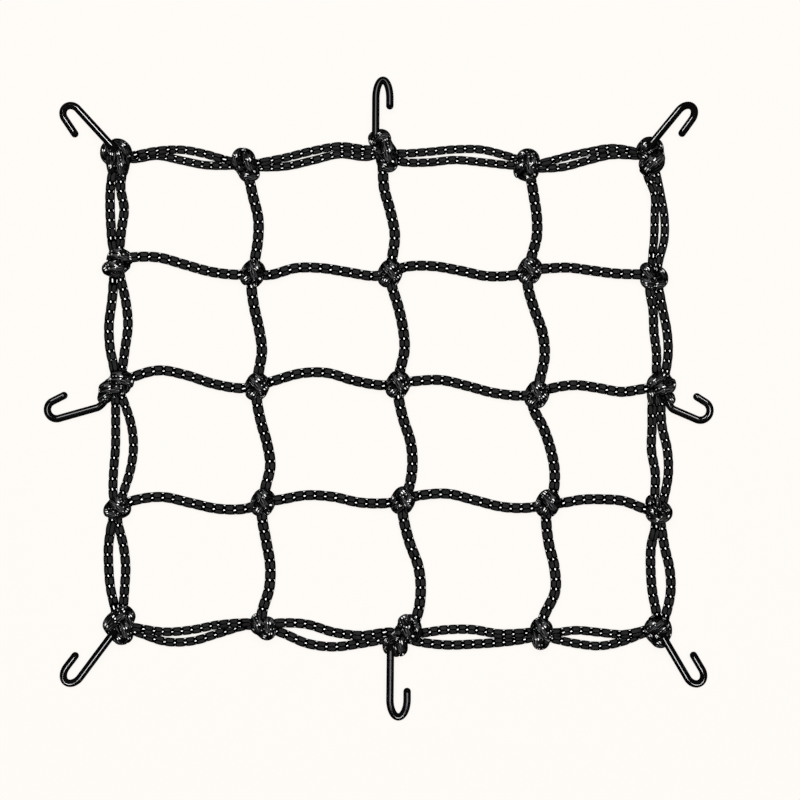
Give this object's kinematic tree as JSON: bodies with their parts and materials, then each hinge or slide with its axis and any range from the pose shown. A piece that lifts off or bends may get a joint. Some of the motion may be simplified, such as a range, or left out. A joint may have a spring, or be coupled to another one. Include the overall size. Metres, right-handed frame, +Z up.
{
  "type": "cargo net",
  "caption": "Small elastic cargo net of knotted black shock cord with reflective flecks, a doubled border and coated wire J hooks, laid flat.",
  "frame": {"origin": "middle of the whole outline, hooks included, on the surface that the net lies on", "axes": "+X along the longer side, +Y towards the upper row of knots as pictured, +Z up from the surface"},
  "size_m": [0.3355, 0.3226, 0.011],
  "materials": {
    "cord": "braided black sheath with light reflective flecks",
    "hook": "glossy black plastic coat over bent wire"
  },
  "bodies": {
    "root": {"border_a1_a2": "cord", "border_a1_b1": "cord", "border_a2_a3": "cord", "border_a3_a4": "cord", "border_a4_a5": "cord", "border_a5_b5": "cord", "border_b1_c1": "cord", "border_b5_c5": "cord", "border_c1_d1": "cord", "border_c5_d5": "cord", "border_d1_e1": "cord", "border_d5_e5": "cord", "border_e1_e2": "cord", "border_e2_e3": "cord", "border_e3_e4": "cord", "border_e4_e5": "cord", "hook_a1": "hook", "hook_a3": "hook", "hook_a5": "hook", "hook_c1": "hook", "hook_c5": "hook", "hook_e1": "hook", "hook_e3": "hook", "hook_e5": "hook", "knot_a1": "cord", "knot_a2": "cord", "knot_a3": "cord", "knot_a4": "cord", "knot_a5": "cord", "knot_b1": "cord", "knot_b5": "cord", "knot_c1": "cord", "knot_c5": "cord", "knot_d1": "cord", "knot_d5": "cord", "knot_e1": "cord", "knot_e2": "cord", "knot_e3": "cord", "knot_e4": "cord", "knot_e5": "cord", "mesh_crosswise_b1_b2": "cord", "mesh_crosswise_b2_b3": "cord", "mesh_crosswise_b3_b4": "cord", "mesh_crosswise_b4_b5": "cord", "mesh_crosswise_c1_c2": "cord", "mesh_crosswise_c2_c3": "cord", "mesh_crosswise_c3_c4": "cord", "mesh_crosswise_c4_c5": "cord", "mesh_crosswise_d1_d2": "cord", "mesh_crosswise_d2_d3": "cord", "mesh_crosswise_d3_d4": "cord", "mesh_crosswise_d4_d5": "cord", "mesh_lengthwise_2": "cord", "mesh_lengthwise_3": "cord", "mesh_lengthwise_4": "cord"}
  },
  "joints": []
}
